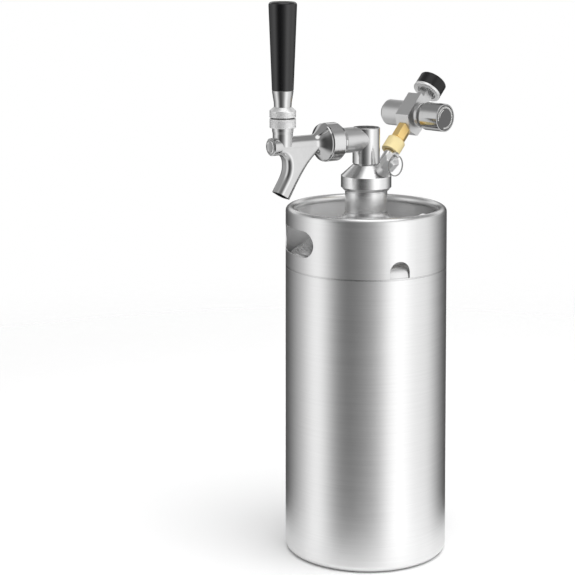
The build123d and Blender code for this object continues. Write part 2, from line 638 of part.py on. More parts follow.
def make_bonnet_ring():
    """Knurled ring that screws into the faucet's neck and holds the lever's ball."""
    with BuildPart() as bonnet_ring:
        turn(LEVER, (5.6, 355.6), (7.0, 355.6), (7.0, BONNET_Z), (KNURL_R - 0.4, BONNET_Z),
             (KNURL_R, BONNET_Z + 0.4), (KNURL_R, BONNET_TOP_Z - 0.4), (KNURL_R - 0.4, BONNET_TOP_Z),
             (7.2, BONNET_TOP_Z), (5.0, 360.0), (5.0, 358.75), (5.6, 358.75))
    save(bonnet_ring.part, "bonnet_ring")


COLLAR_Z, COLLAR_TOP_Z = 367.4, 372.6
FERRULE_Z = 375.6
LEVER_TOP_Z = 398.0


def make_lever():
    """Lever: tip in the shaft's slot, ball in the bonnet, threaded rod in the handle."""
    with BuildPart() as lever:
        with Locations((0, -LEVER_D, LEVER_PIVOT_Z)):
            Sphere(LEVER_BALL_R)
        with Locations((0, -LEVER_D, TAP_Z)):
            Sphere(LEVER_TIP_R)
        rod(LEVER, 1.5, TAP_Z, LEVER_PIVOT_Z)
        rod(LEVER, LEVER_ROD_R, LEVER_PIVOT_Z, LEVER_TOP_Z)
    save(lever.part, "lever")


def make_handle_collar():
    """Knurled collar on the lever, hollow underneath so that it can tilt over the bonnet."""
    cup_r = 9.9
    with BuildPart() as handle_collar:
        turn(LEVER, (LEVER_ROD_R, COLLAR_Z + 3.2), (cup_r, COLLAR_Z + 3.2), (cup_r, COLLAR_Z),
             (KNURL_R - 0.2, COLLAR_Z), (KNURL_R + 0.05, COLLAR_Z + 0.4),
             (KNURL_R + 0.05, COLLAR_TOP_Z - 0.3), (KNURL_R - 0.4, COLLAR_TOP_Z),
             (7.2, FERRULE_Z), (LEVER_ROD_R, FERRULE_Z))
    save(handle_collar.part, "handle_collar")


def make_ferrule():
    """Bright sleeve at the foot of the handle, widening upwards."""
    with BuildPart() as ferrule:
        turn(LEVER, (LEVER_ROD_R, FERRULE_Z), (7.0, FERRULE_Z), (7.3, FERRULE_Z + 4.0),
             (8.7, HANDLE_Z - 0.6), (8.5, HANDLE_Z), (LEVER_ROD_R, HANDLE_Z))
    save(ferrule.part, "ferrule")


def make_tap_handle():
    """Tapered round grip with a rounded top edge and a blind hole for the lever."""
    with BuildPart() as tap_handle:
        turn(LEVER, (0, HANDLE_Z), (8.75, HANDLE_Z), (11.6, HANDLE_TOP_Z), (0, HANDLE_TOP_Z))
        fillet(tap_handle.edges().group_by(Axis.Z)[-1], 2.2)
        rod(LEVER, LEVER_ROD_R, HANDLE_Z, LEVER_TOP_Z + 0.5, mode=Mode.SUBTRACT)
    save(tap_handle.part, "tap_handle")


# ---- Quick coupler ------------------------------------------------------------------
SLEEVE_R = 8.0
SLEEVE_S, SLEEVE_END = 41.9, 53.9
COUPLER_R = 5.2
HEX_S, HEX_END = 55.5, 69.1
HEX_AF = 10.9
COUPLER_BALLS = 3


def make_coupler_body():
    """Brass body: ball cage over the stem, spring shoulder, hexagon, threaded end."""
    with BuildPart() as coupler_body:
        turn(GAS, (STEM_R + RUN, 42.6), (COUPLER_R, 42.6), (COUPLER_R, 46.4), (6.1, 46.4),
             (6.1, 47.3), (COUPLER_R, 47.3), (COUPLER_R, HEX_S), (0, HEX_S), (0, STEM_END + 0.4),
             (STEM_R + RUN, STEM_END + 0.4))
        hexagon(GAS, HEX_AF, HEX_S, HEX_END)
        turn(GAS, (5.5, HEX_S), (6.6, HEX_S), (6.6, HEX_S + 0.8), mode=Mode.SUBTRACT)
        rod(GAS, 3.2, HEX_END, HEX_END + 5)
        rod(GAS, GAS_BORE_R, STEM_END, HEX_END + 6, mode=Mode.SUBTRACT)
        for index in range(COUPLER_BALLS):
            angle = radians(index * 360 / COUPLER_BALLS)
            outward = GAS.x_dir * cos(angle) + GAS.y_dir * sin(angle)
            hole = Plane(origin=GAS.origin + GAS.z_dir * GAS_BALL_S, x_dir=GAS.z_dir, z_dir=outward)
            rod(hole, GAS_BALL_R + 0.05, STEM_R - 0.3, COUPLER_R + 0.5, mode=Mode.SUBTRACT)
    save(coupler_body.part, "coupler_body")


def make_coupler_balls():
    ball_r = STEM_R - 0.75 + GAS_BALL_R + 0.03
    with BuildPart() as coupler_balls:
        for index in range(COUPLER_BALLS):
            angle = radians(index * 360 / COUPLER_BALLS)
            outward = GAS.x_dir * cos(angle) + GAS.y_dir * sin(angle)
            with Locations(GAS.origin + GAS.z_dir * GAS_BALL_S + outward * ball_r):
                Sphere(GAS_BALL_R)
    save(coupler_balls.part, "coupler_balls")


def make_coupler_spring():
    with BuildPart() as coupler_spring:
        coil(GAS, 5.75, 0.3, 47.4, 50.4, 3)
    save(coupler_spring.part, "coupler_spring")


def make_coupler_sleeve():
    """Sliding sleeve with an inside pocket for its spring."""
    with BuildPart() as coupler_sleeve:
        turn(GAS, (COUPLER_R + RUN, SLEEVE_S), (SLEEVE_R - 0.5, SLEEVE_S), (SLEEVE_R, SLEEVE_S + 0.5),
             (SLEEVE_R, SLEEVE_END - 0.5), (SLEEVE_R - 0.5, SLEEVE_END), (COUPLER_R + RUN, SLEEVE_END),
             (COUPLER_R + RUN, 53.2), (6.3, 53.2), (6.3, 46.1), (COUPLER_R + RUN, 46.1))
    save(coupler_sleeve.part, "coupler_sleeve")


# ---- Regulator ----------------------------------------------------------------------
BLOCK_HALF = 7.0            # half thickness of the block along the knob's axis
BLOCK_TOP = 15.0            # the block's end towards the gauge, from its centre
BLOCK_LOW = -17.2           # tip of the block's end towards the coupler
SPIGOT_R = 6.0
SCREW_R = 2.4               # adjusting screw
GAUGE_STEM_R = 3.4
BONNET_BASE = 13.0          # front of the bonnet's ring
BONNET_TUBE_R = 8.2
BONNET_END = 28.6


def make_reg_body():
    """Waisted block with a pointed lower end, drilled for its five connections."""
    upper_side = [(BLOCK_TOP, 11.2), (-9.8, 10.9)]
    lower_side = [(BLOCK_LOW, -0.5), (-14.0, -11.0), (-7.0, -11.8), (4.0, -9.4), (BLOCK_TOP, -11.5)]
    with BuildPart() as reg_body:
        with BuildSketch(KNOB):
            with BuildLine():
                Polyline(*upper_side, *lower_side, close=True)
            make_face()
        extrude(amount=BLOCK_HALF, both=True)
        chamfer(reg_body.edges().filter_by(lambda edge: abs(edge.length - 2 * BLOCK_HALF) < 0.01), 0.5)
        hexagon(GAS, HEX_AF, REGULATOR_S + BLOCK_LOW - 1, HEX_END, mode=Mode.SUBTRACT)
        rod(GAS, 3.2, HEX_END - 1, HEX_END + 5, mode=Mode.SUBTRACT)
        rod(GAS, GAS_BORE_R, HEX_END + 4, REGULATOR_S + 8, mode=Mode.SUBTRACT)
        rod(GAS, GAUGE_STEM_R, REGULATOR_S + 8, REGULATOR_S + BLOCK_TOP + 1, mode=Mode.SUBTRACT)
        rod(KNOB, 6.5, 2.0, BLOCK_HALF + 1, mode=Mode.SUBTRACT)
        rod(SOCKET, SPIGOT_R, 3.0, BLOCK_HALF + 1, mode=Mode.SUBTRACT)
    save(reg_body.part, "reg_body")


def make_cartridge_socket():
    """Chamfered socket with the cartridge's thread; its spigot screws into the block."""
    thread_back = SOCKET_END - THREAD_LENGTH
    with BuildPart() as cartridge_socket:
        turn(SOCKET, (1.3, 3.0), (SPIGOT_R, 3.0), (SPIGOT_R, BLOCK_HALF), (SOCKET_R - 0.3, BLOCK_HALF),
             (SOCKET_R, BLOCK_HALF + 0.3), (SOCKET_R, SOCKET_END - 3.0), (SOCKET_R - 2.6, SOCKET_END),
             (THREAD_R, SOCKET_END), (THREAD_R, thread_back), (POCKET_R, thread_back),
             (POCKET_R, POCKET_W), (1.3, POCKET_W))
    save(cartridge_socket.part, "cartridge_socket")


def make_socket_seal():
    with BuildPart() as socket_seal:
        turn(SOCKET, (1.4, POCKET_W), (POCKET_R - 0.1, POCKET_W), (POCKET_R - 0.1, POCKET_W + 1.4),
             (1.4, POCKET_W + 1.4))
    save(socket_seal.part, "socket_seal")


def make_piercing_pin():
    with BuildPart() as piercing_pin:
        turn(SOCKET, (0, 3.0), (1.25, 3.0), (1.25, 17.0), (0.15, 19.4), (0, 19.4))
    save(piercing_pin.part, "piercing_pin")


def make_reg_bonnet():
    """Bonnet: base ring on the block and a tube that guides knob, spring and screw."""
    with BuildPart() as reg_bonnet:
        turn(KNOB, (5.2, BLOCK_HALF), (8.0, BLOCK_HALF), (8.0, 9.6), (10.4, 9.6), (10.8, 10.0),
             (10.8, BONNET_BASE - 0.4), (10.4, BONNET_BASE), (BONNET_TUBE_R, BONNET_BASE),
             (BONNET_TUBE_R, BONNET_END), (SCREW_R + RUN, BONNET_END), (SCREW_R + RUN, BONNET_END - 1.6),
             (6.4, BONNET_END - 1.6), (6.4, BLOCK_HALF + 2), (5.2, BLOCK_HALF + 2))
    save(reg_bonnet.part, "reg_bonnet")


BUTTON_W = 21.0             # back of the button between spring and screw


def make_reg_piston():
    with BuildPart() as reg_piston:
        turn(KNOB, (0, 2.5), (6.3, 2.5), (6.3, 5.6), (4.6, 5.6), (4.6, 9.2), (6.2, 9.2), (6.2, 10.4),
             (0, 10.4))
    save(reg_piston.part, "reg_piston")


def make_reg_spring():
    with BuildPart() as reg_spring:
        coil(KNOB, 5.2, 0.7, 10.6, BUTTON_W - 3.2, 4)
    save(reg_spring.part, "reg_spring")


def make_spring_button():
    with BuildPart() as spring_button:
        turn(KNOB, (0, BUTTON_W), (6.3, BUTTON_W), (6.3, BUTTON_W + 1.8), (0, BUTTON_W + 1.8))
    save(spring_button.part, "spring_button")


def make_adjusting_screw():
    with BuildPart() as adjusting_screw:
        rod(KNOB, SCREW_R, BUTTON_W + 1.85, KNOB_FACE - 3.6)
    save(adjusting_screw.part, "adjusting_screw")


def make_knob():
    """Round cup knob over the bonnet's tube, with a recessed face."""
    floor = KNOB_FACE - 3.6
    with BuildPart() as knob:
        turn(KNOB, (BONNET_TUBE_R + RUN, KNOB_BACK), (KNOB_R - 0.6, KNOB_BACK),
             (KNOB_R, KNOB_BACK + 0.6), (KNOB_R, KNOB_FACE - 0.8), (KNOB_R - 0.5, KNOB_FACE),
             (KNOB_R - 1.0, KNOB_FACE), (KNOB_R - 1.2, KNOB_FACE - 0.9), (0, KNOB_FACE - 0.9),
             (0, floor), (BONNET_TUBE_R + RUN, floor))
    save(knob.part, "knob")


def make_knob_disc():
    """Face plate let into the knob."""
    with BuildPart() as knob_disc:
        turn(KNOB, (0, KNOB_FACE - 0.9), (KNOB_R - 1.3, KNOB_FACE - 0.9),
             (KNOB_R - 1.5, KNOB_FACE - 0.2), (0, KNOB_FACE - 0.2))
    save(knob_disc.part, "knob_disc")


# ---- Pressure gauge -----------------------------------------------------------------
GAUGE_FLOOR = 111.4         # inner floor of the case
DIAL_S = 118.0


def make_gauge_stem():
    """Square-shouldered stem between block and gauge case."""
    with BuildPart() as gauge_stem:
        rod(GAS, GAUGE_STEM_R, REGULATOR_S + 9, 102.5)
        with BuildSketch(GAS.offset(99.6)) as shoulder:
            Rectangle(9.0, 9.0)
        extrude(shoulder.sketch, amount=GAUGE_FLOOR - 1 - 99.6, dir=GAS.z_dir)
    save(gauge_stem.part, "gauge_stem")


def make_gauge_ring():
    """Bright ring around the open back of the gauge."""
    with BuildPart() as gauge_ring:
        turn(GAS, (8.6, GAUGE_BACK), (11.7, GAUGE_BACK), (12.25, GAUGE_BACK + 0.5),
             (12.25, GAUGE_BACK + 2.5), (8.6, GAUGE_BACK + 2.5))
    save(gauge_ring.part, "gauge_ring")


def make_gauge_case():
    """Black case: floor behind the movement, straight wall, bead around the window."""
    back = GAUGE_BACK + 2.5
    with BuildPart() as gauge_case:
        turn(GAS, (0, back), (GAUGE_R, back), (GAUGE_R, GAUGE_FRONT - 0.6), (GAUGE_R - 0.6, GAUGE_FRONT),
             (10.2, GAUGE_FRONT), (10.2, GAUGE_FRONT - 0.7), (10.9, GAUGE_FRONT - 0.7),
             (10.9, GAUGE_FLOOR + 0.4), (0, GAUGE_FLOOR + 0.4))
    save(gauge_case.part, "gauge_case")


def make_gauge_dial():
    with BuildPart() as gauge_dial:
        turn(GAS, (0.6, DIAL_S), (10.8, DIAL_S), (10.8, DIAL_S + 0.5), (0.6, DIAL_S + 0.5))
        rod(GAS, 4.5, GAUGE_FLOOR + 0.4, DIAL_S)
        rod(GAS, 0.6, DIAL_S - 2, DIAL_S + 0.5, mode=Mode.SUBTRACT)
    save(gauge_dial.part, "gauge_dial")


def make_gauge_needle():
    """Pointer on its spindle; at rest it points to the dial's zero."""
    with BuildPart() as gauge_needle:
        rod(GAS, 0.55, DIAL_S - 1.5, DIAL_S + 1.4)
        rod(GAS, 1.3, DIAL_S + 0.75, DIAL_S + 1.4)
        with BuildSketch(GAS.offset(DIAL_S + 0.8)) as pointer:
            with BuildLine():
                Polyline((0.7, 2.4), (-0.7, 2.4), (-0.12, -8.4), (0.12, -8.4), close=True)
            make_face()
        extrude(pointer.sketch.rotate(Axis(GAS.origin, GAS.z_dir), -45), amount=0.4, dir=GAS.z_dir)
    save(gauge_needle.part, "gauge_needle")


def make_gauge_lens():
    with BuildPart() as gauge_lens:
        turn(GAS, (0, GAUGE_FRONT - 1.5), (10.85, GAUGE_FRONT - 1.5), (10.85, GAUGE_FRONT - 0.75),
             (0, GAUGE_FRONT - 0.75))
    save(gauge_lens.part, "gauge_lens")


for make_piece in (
    make_keg_shell, make_shoulder_dome, make_neck_ring, make_top_collar,
    make_cap_body, make_cap_seal, make_liquid_post, make_post_oring, make_post_poppet,
    make_poppet_spring, make_dip_tube, make_dip_tube_oring, make_gas_stem, make_gas_stem_oring,
    make_prv_body, make_prv_seal, make_prv_stem, make_prv_spring, make_prv_ring,
    make_disconnect_body, make_lock_balls, make_disconnect_plug, make_disconnect_pin,
    make_shank, make_coupling_nut, make_shank_seal, make_faucet_body, make_front_plug,
    make_faucet_shaft, make_seat_washer, make_ball_seat, make_ball_washer, make_bonnet_ring,
    make_lever, make_handle_collar, make_ferrule, make_tap_handle,
    make_coupler_body, make_coupler_balls, make_coupler_spring, make_coupler_sleeve,
    make_reg_body, make_cartridge_socket, make_socket_seal, make_piercing_pin, make_reg_bonnet,
    make_reg_piston, make_reg_spring, make_spring_button, make_adjusting_screw, make_knob,
    make_knob_disc, make_gauge_stem, make_gauge_ring, make_gauge_case, make_gauge_dial,
    make_gauge_needle, make_gauge_lens,
):
    make_piece()
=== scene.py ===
"""Looks of the mini keg growler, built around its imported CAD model.

Turned pieces are revolved again with soft edges, knurls and threads; the other CAD nodes keep
their own mesh. Every piece gets a procedural material. Lengths below are in millimetres unless a
name ends in _M; meshes are made in metres.
"""
import json
import math

import bmesh
import bpy
from mathutils import Matrix, Vector


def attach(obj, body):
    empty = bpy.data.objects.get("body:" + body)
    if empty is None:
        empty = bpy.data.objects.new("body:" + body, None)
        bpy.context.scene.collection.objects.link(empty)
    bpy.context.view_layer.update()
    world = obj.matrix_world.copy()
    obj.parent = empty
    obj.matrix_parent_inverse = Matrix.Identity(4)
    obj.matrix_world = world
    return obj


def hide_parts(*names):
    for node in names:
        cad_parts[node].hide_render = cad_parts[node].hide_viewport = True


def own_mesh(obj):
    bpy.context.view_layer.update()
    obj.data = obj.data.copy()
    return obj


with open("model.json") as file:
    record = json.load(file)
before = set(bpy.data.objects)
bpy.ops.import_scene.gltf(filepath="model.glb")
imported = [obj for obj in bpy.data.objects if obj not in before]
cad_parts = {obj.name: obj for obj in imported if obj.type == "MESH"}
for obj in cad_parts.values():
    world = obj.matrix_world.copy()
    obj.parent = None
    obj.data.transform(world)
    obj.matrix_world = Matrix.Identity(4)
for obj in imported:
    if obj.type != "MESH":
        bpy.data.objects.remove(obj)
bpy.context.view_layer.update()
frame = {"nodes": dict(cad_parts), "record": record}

MM = 0.001
WHITE = (1.0, 1.0, 1.0, 1.0)


def grey(value):
    return (value, value, value, 1.0)


# ---- Axes of the object ----------------------------------------------------------------
INLET_Z = 300.5             # height where both inlets' axes meet the keg's axis
REGULATOR_S = 83.1          # regulator's centre, along the gas inlet's axis
OUTLET_Z, LEVER_Y = 344, -83.5


def axes(origin, x_dir, z_dir):
    """Matrix of a frame whose Z is an axis of the object."""
    x, z = Vector(x_dir).normalized(), Vector(z_dir).normalized()
    matrix = Matrix((x, z.cross(x), z)).transposed().to_4x4()
    matrix.translation = Vector(origin) * MM
    return matrix


def inclined(azimuth):
    """Frame of an inlet that rises at 45 degrees towards azimuth, from the keg's axis."""
    turn = math.radians(azimuth)
    rise = math.sqrt(0.5)
    outward = (rise * math.cos(turn), rise * math.sin(turn), rise)
    return axes((0, 0, INLET_Z), (-math.sin(turn), math.cos(turn), 0), outward)


GAS_AZIMUTH, KNOB_AZIMUTH = 101.0, 11.0
KNOB_DIR = Vector((math.cos(math.radians(KNOB_AZIMUTH)), math.sin(math.radians(KNOB_AZIMUTH)), 0))
UPRIGHT = Matrix.Identity(4)
GAS = inclined(GAS_AZIMUTH)
RELIEF = inclined(KNOB_AZIMUTH)
TAP = axes((0, 0, OUTLET_Z), (1, 0, 0), (0, -1, 0))
LEVER = axes((0, LEVER_Y, 0), (1, 0, 0), (0, 0, 1))
GAS_DIR = GAS.to_3x3() @ Vector((0, 0, 1))
REGULATOR = GAS.translation / MM + GAS_DIR * REGULATOR_S
KNOB = axes(REGULATOR, GAS_DIR, KNOB_DIR)
SOCKET = axes(REGULATOR, GAS_DIR, -KNOB_DIR)


# ---- Mesh building ---------------------------------------------------------------------
ARC_STEP = math.radians(18)
SHARP = math.radians(40)
EDGE = 0.2                  # fillet of a corner that states none
ON_AXIS = 1e-6
ON_BAND = 0.02              # how close to a band's radius a row counts as its own
NEARLY_STRAIGHT = math.pi - 0.02


def rounded(outline):
    """Outline of (radius, distance[, fillet]) with an arc at each corner that is off the axis."""
    points = []
    for index, corner in enumerate(outline):
        here = Vector(corner[:2])
        fillet = corner[2] if len(corner) > 2 else EDGE
        back = Vector(outline[index - 1][:2]) - here
        ahead = Vector(outline[(index + 1) % len(outline)][:2]) - here
        angle = back.angle(ahead)
        if here.x < ON_AXIS or fillet == 0 or angle > NEARLY_STRAIGHT:
            points.append(here)
            continue
        half = math.tan(angle / 2)
        reach = min(fillet / half, 0.48 * back.length, 0.48 * ahead.length)
        start, end = back.normalized() * reach, ahead.normalized() * reach
        centre = (start + end).normalized() * (reach / math.cos(angle / 2))
        steps = max(2, math.ceil((math.pi - angle) / ARC_STEP))
        first, last = start - centre, end - centre
        sweep = first.angle(last)
        for step in range(steps + 1):
            share = step / steps
            arm = first * math.sin((1 - share) * sweep) + last * math.sin(share * sweep)
            points.append(here + centre + arm / math.sin(sweep))
    return points


class Band:
    """Part of a turned surface whose radius is cut by a pattern of angle and distance."""

    def __init__(self, radius, low, high, step, depth_at):
        self.radius, self.low, self.high = radius, low, high
        self.step, self.depth_at = step, depth_at

    def holds(self, point):
        level = self.low - 1e-6 < point.y < self.high + 1e-6
        return abs(point.x - self.radius) < ON_BAND and level


def wave(x):
    """Triangle wave: 0 at whole numbers, 1 half way between them."""
    return 1 - abs(2 * (x - math.floor(x)) - 1)


def knurl(radius, low, high, count, depth):
    """Diamond knurl: two crossing sets of V grooves."""
    pitch = 2 * math.pi * radius / count

    def depth_at(angle, s):
        u, v = angle / (2 * math.pi) * count, (s - low) / pitch
        return depth * (1 - min(1, 1.6 * wave(u + v)) * min(1, 1.6 * wave(u - v)))
    return Band(radius, low, high, pitch / 4, depth_at)


def thread(radius, low, high, pitch, depth):
    """Screw thread that runs out at both ends; a negative depth cuts an inside thread outward."""
    def depth_at(angle, s):
        fade = min(1, (s - low) / pitch, (high - s) / pitch)
        return depth * max(0, fade) * wave(s / pitch - angle / (2 * math.pi))
    return Band(radius, low, high, pitch / 6, depth_at)


def with_rows(points, bands):
    """Adds rows of points where a band needs them."""
    for band in bands:
        filled = []
        for index, here in enumerate(points):
            filled.append(here)
            after = points[(index + 1) % len(points)]
            if abs(here.x - band.radius) > ON_BAND or abs(after.x - band.radius) > ON_BAND:
                continue
            low, high = sorted((here.y, after.y))
            if high < band.low or low > band.high or high - low < 2 * band.step:
                continue
            foot, reach = max(low, band.low), min(high, band.high) - max(low, band.low)
            rows = max(2, round(reach / band.step))
            heights = [foot + reach * k / rows for k in range(rows + 1)]
            heights = [h for h in heights if low + 1e-3 < h < high - 1e-3]
            if after.y < here.y:
                heights.reverse()
            filled += [Vector((band.radius, h)) for h in heights]
        points = filled
    return points


def finish_mesh(name, bm, place, body, look, stands_for=()):
    """Makes a smooth-shaded piece of a bmesh, in place, riding on its body."""
    bmesh.ops.recalc_face_normals(bm, faces=bm.faces)
    mesh = bpy.data.meshes.new(name)
    bm.to_mesh(mesh)
    bm.free()
    mesh.materials.append(LOOKS[look])
    mesh.shade_smooth()
    mesh.set_sharp_from_angle(angle=SHARP)
    piece = bpy.data.objects.new(name, mesh)
    bpy.context.scene.collection.objects.link(piece)
    piece.matrix_world = place
    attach(piece, body)
    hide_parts(*stands_for)
    return piece


def lathe(name, place, outline, body, look, stands_for=(), segments=96, bands=()):
    """Revolves an outline about place's Z; flat faces stay flat beside their fillets."""
    bm = bmesh.new()
    rings = []
    for point in with_rows(rounded(outline), bands):
        if point.x < ON_AXIS:
            rings.append([bm.verts.new((0, 0, point.y * MM))])
            continue
        band = next((b for b in bands if b.holds(point)), None)
        ring = []
        for index in range(segments):
            angle = 2 * math.pi * index / segments
            r = point.x - (band.depth_at(angle, point.y) if band else 0)
            spot = Vector((r * math.cos(angle), r * math.sin(angle), point.y))
            ring.append(bm.verts.new(spot * MM))
        rings.append(ring)
    for index, ring in enumerate(rings):
        after = rings[(index + 1) % len(rings)]
        if len(ring) == 1 and len(after) == 1:
            continue
        for k in range(segments):
            n = (k + 1) % segments
            corners = (ring[k % len(ring)], ring[n % len(ring)],
                       after[n % len(after)], after[k % len(after)])
            bm.faces.new(list(dict.fromkeys(corners)))
    piece = finish_mesh(name, bm, place, body, look, stands_for)
    piece.modifiers.new("even", "WEIGHTED_NORMAL").keep_sharp = True


# ---- Materials -------------------------------------------------------------------------
class Recipe:
    """A node tree with short calls for its nodes and links."""

    def __init__(self, owner):
        owner.use_nodes = True
        self.owner, self.tree = owner, owner.node_tree
        self.tree.nodes.clear()

    def feed(self, socket, value):
        if isinstance(value, bpy.types.Node):
            value = next(s for s in value.outputs if s.enabled)
        if isinstance(value, bpy.types.NodeSocket):
            self.tree.links.new(value, socket)
        else:
            socket.default_value = value

    def node(self, kind, *values, **settings):
        made = self.tree.nodes.new("ShaderNode" + kind)
        for key, value in settings.items():
            if hasattr(made, key):
                setattr(made, key, value)
        for key, value in settings.items():
            if not hasattr(made, key):
                self.feed(made.inputs[key.replace("_", " ")], value)
        usable = [s for s in made.inputs if s.enabled]
        for socket, value in zip(usable, values):
            self.feed(socket, value)
        return made

    def math(self, operation, *values, clamp=False):
        return self.node("Math", *values, operation=operation, use_clamp=clamp)

    def blend(self, share, low, high):
        """Mixes two numbers."""
        return self.node("MapRange", share, 0.0, 1.0, low, high)

    def ease(self, value, start, end, low=0.0, high=1.0):
        """Goes smoothly from low to high as value goes from start to end."""
        return self.node("MapRange", value, start, end, low, high, interpolation_type="SMOOTHSTEP")

    def dot(self, first, second):
        return self.node("VectorMath", first, second, operation="DOT_PRODUCT").outputs["Value"]

    def tint(self, share, first, second):
        return self.node("MixRGB", share, first, second)

    def noise(self, vector, scale, detail, roughness=0.55):
        made = self.node("TexNoise", Scale=scale, Detail=detail, Roughness=roughness)
        self.feed(made.inputs["Vector"], vector)
        return made.outputs["Fac"]

    def stretched(self, x, y, z):
        """The piece's own coordinates, in metres, each multiplied."""
        place = self.node("TexCoord").outputs["Object"]
        return self.node("Mapping", place, Scale=(x, y, z), vector_type="POINT")

    def rings(self, scale):
        """Coordinates that only change with radius and height: turning marks."""
        split = self.node("SeparateXYZ", self.node("TexCoord").outputs["Object"])
        flat = self.node("CombineXYZ", split.outputs[0], split.outputs[1], 0.0)
        radius = self.node("VectorMath", flat, operation="LENGTH").outputs["Value"]
        return self.node("CombineXYZ", self.math("MULTIPLY", radius, scale), 0.0,
                         self.math("MULTIPLY", split.outputs[2], scale))

    def bump(self, height, distance, strength, normal=None):
        made = self.node("Bump", Strength=strength, Distance=distance, Height=height)
        if normal is not None:
            self.feed(made.inputs["Normal"], normal)
        return made

    def painted_edge_highlight(self, width):
        """Mask of a painted edge highlight: 1 on edges, 0 on flats, from the bevelled and plain
        normals.
        """
        soft = self.node("Bevel", Radius=width, samples=4)
        plain = self.node("NewGeometry").outputs["Normal"]
        return self.node("MapRange", self.dot(soft, plain), 1.0, 0.93, 0.0, 1.0)

    def brushing(self):
        """Long low streaks round the keg over a fine grain."""
        fine = self.noise(self.stretched(18, 18, 2600), 1.0, 2.0)
        coarse = self.noise(self.stretched(14, 14, 620), 1.0, 3.0, 0.7)
        return self.math("ADD", self.math("MULTIPLY", fine, 0.45),
                         self.math("MULTIPLY", coarse, 0.55))

    def surface(self, **settings):
        shader = self.node("BsdfPrincipled", **settings)
        self.node("OutputMaterial", shader)
        return self.owner

    def turned_metal(self, **settings):
        """Metal whose highlights are drawn out along the piece's axis."""
        tangent = self.node("Tangent", direction_type="RADIAL", axis="Z")
        return self.surface(Metallic=1.0, Anisotropic_Rotation=0.25, Tangent=tangent, **settings)


def recipe(name):
    return Recipe(bpy.data.materials.new(name))


def brushed_steel(name, tone, rough, anisotropy):
    """Sheet steel brushed round the keg, a little cloudy."""
    r = recipe(name)
    streak = r.brushing()
    cloud = r.noise(r.stretched(9, 9, 7), 1.0, 2.0)
    colour = r.tint(streak, grey(tone * 0.86), grey(tone * 1.1))
    roughness = r.math("ADD", r.blend(streak, rough - 0.08, rough + 0.08),
                       r.blend(cloud, -0.03, 0.03))
    return r.turned_metal(Base_Color=colour, Roughness=roughness, Anisotropic=anisotropy,
                          Normal=r.bump(streak, 0.00004, 0.5))


POLISHED_FROM_M = (0.2845, 0.2868)      # heights between which the brushing turns to polish


def collar_steel(name):
    """The keg's brushing, which ends in a polished rolled rim."""
    r = recipe(name)
    place = r.node("SeparateXYZ", r.node("TexCoord").outputs["Object"])
    polish = r.ease(place.outputs[2], *POLISHED_FROM_M)
    streak = r.brushing()
    roughness = r.blend(polish, r.blend(streak, 0.28, 0.44), r.blend(streak, 0.22, 0.3))
    grain = r.math("MULTIPLY", streak, r.math("SUBTRACT", 1.0, polish))
    soft_edge = r.node("Bevel", Radius=0.0003, samples=4)
    return r.turned_metal(Base_Color=r.tint(streak, grey(0.78), grey(0.95)), Roughness=roughness,
                          Anisotropic=r.blend(polish, 0.8, 0.3),
                          Normal=r.bump(grain, 0.00004, 0.5, soft_edge))


def turned_steel(name, tone, rough, mark=0.00001):
    """Machined and polished steel: faint turning rings, a little smudging."""
    r = recipe(name)
    ring = r.noise(r.rings(1500.0), 1.0, 3.0, 0.6)
    smudge = r.noise(r.stretched(60, 60, 60), 1.0, 4.0)
    roughness = r.math("ADD", r.blend(ring, rough * 0.7, rough * 1.3), r.blend(smudge, -0.02, 0.05),
                       clamp=True)
    return r.turned_metal(Base_Color=r.tint(ring, grey(tone * 0.93), grey(tone * 1.04)),
                          Roughness=roughness, Anisotropic=0.35, Normal=r.bump(ring, mark, 0.4))


def cast_chrome(name, tone, rough):
    """Cast, polished and plated: slow waves in the surface, fine smudges."""
    r = recipe(name)
    slow = r.noise(r.stretched(55, 55, 55), 1.0, 1.0)
    smudge = r.noise(r.stretched(240, 240, 240), 1.0, 5.0)
    wave_normal = r.bump(slow, 0.0012, 0.35)
    return r.surface(Base_Color=r.tint(smudge, grey(tone * 0.95), grey(tone * 1.03)), Metallic=1.0,
                     Roughness=r.blend(smudge, rough * 0.6, rough * 1.5),
                     Normal=r.bump(smudge, 0.00001, 0.3, wave_normal))


def machined(name, light, dark, rough, metal=1.0):
    """Machined or plated satin metal with painted highlights on its edges."""
    r = recipe(name)
    speckle = r.noise(r.stretched(700, 700, 700), 1.0, 4.0)
    stain = r.noise(r.stretched(90, 90, 90), 1.0, 3.0)
    body = r.tint(r.blend(stain, 0.15, 0.85), dark, light)
    bright = tuple(min(1, c * 1.25) for c in light[:3]) + (1,)
    # edges painted lighter: a painted highlight where light would catch them
    edge_lit_colour = r.tint(r.math("MULTIPLY", r.painted_edge_highlight(0.00035), 0.6), body, bright)
    return r.surface(Base_Color=edge_lit_colour, Metallic=metal,
                     Roughness=r.blend(speckle, rough - 0.07, rough + 0.09),
                     Normal=r.bump(speckle, 0.00002, 0.4))


def plastic(name, colour, rough, coat, grain, depth):
    """Moulded plastic or lacquer with a fine skin and a painted highlight along its edges."""
    r = recipe(name)
    skin = r.noise(r.stretched(grain, grain, grain), 1.0, 3.0)
    scuff = r.noise(r.stretched(130, 130, 700), 1.0, 5.0, 0.7)
    roughness = r.math("ADD", r.blend(skin, rough * 0.85, rough * 1.15),
                       r.blend(scuff, -0.03, 0.05))
    # paler edges: a painted highlight along the edges
    pale = tuple(min(1, c * 1.6 + 0.004) for c in colour[:3]) + (1,)
    return r.surface(Base_Color=r.tint(r.math("MULTIPLY", r.painted_edge_highlight(0.0004), 0.5), colour, pale),
                     Roughness=roughness, Coat_Weight=coat, Coat_Roughness=0.06,
                     Specular_IOR_Level=0.35,
                     Normal=r.bump(skin, depth, 0.5))


def clear(name):
    r = recipe(name)
    haze = r.noise(r.stretched(300, 300, 300), 1.0, 2.0)
    return r.surface(Base_Color=WHITE, Roughness=r.blend(haze, 0.0, 0.04), IOR=1.49,
                     Transmission_Weight=1.0)


